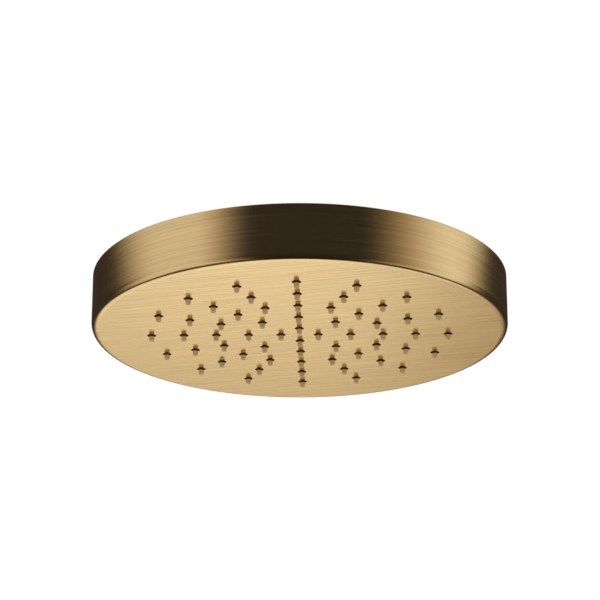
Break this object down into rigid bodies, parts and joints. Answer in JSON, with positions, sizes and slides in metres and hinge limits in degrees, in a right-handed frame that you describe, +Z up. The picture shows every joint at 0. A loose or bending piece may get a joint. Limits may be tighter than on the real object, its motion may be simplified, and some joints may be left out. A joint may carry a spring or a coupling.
{
  "type": "rain shower head",
  "caption": "Round drum rain shower head in brushed brass, with soft rub-clean nozzles in rings and a ball joint with a pipe-thread inlet.",
  "frame": {"origin": "on the axis of the inlet, where its pipe thread begins below the mouth's chamfer", "axes": "+Z up the supply pipe, so the spray face looks along -Z; +X along a row of nozzles, with the face brushed along X"},
  "size_m": [0.2, 0.2, 0.0629],
  "materials": {
    "brushed_brass": "brushed, linear on the spray face and round the wall",
    "plain_brass": "turned",
    "nozzle_silicone": "soft satin, bronze brown",
    "chamber_plastic": "moulded",
    "friction_plastic": "moulded",
    "seal_rubber": "moulded",
    "stainless_steel": "plain"
  },
  "bodies": {
    "inlet": {"ball_stem": "brushed_brass", "strainer_gasket": "seal_rubber", "strainer_screen": "stainless_steel", "flow_regulator": "friction_plastic", "regulator_ring": "seal_rubber"},
    "ball_seats": {"friction_ring": "friction_plastic", "ball_seal": "seal_rubber"},
    "head": {"shell": "brushed_brass", "lid": "brushed_brass", "ball_socket": "brushed_brass", "collar_nut": "brushed_brass", "neck_insert": "plain_brass", "nozzle_mat": "nozzle_silicone", "chamber_cover": "chamber_plastic", "flange_gasket": "seal_rubber", "barrel_gasket": "seal_rubber", "chamber_screws": "stainless_steel", "screw_washers": "stainless_steel"}
  },
  "joints": [
    {"name": "head_tilt", "type": "hinge", "parent": "inlet", "child": "ball_seats", "pos_m": [0, 0, -0.02713], "axis": [1, 0, 0], "range_deg": [-15, 15]},
    {"name": "head_swivel", "type": "hinge", "parent": "ball_seats", "child": "head", "pos_m": [0, 0, -0.02713], "axis": [0, 0, 1], "continuous": true}
  ]
}
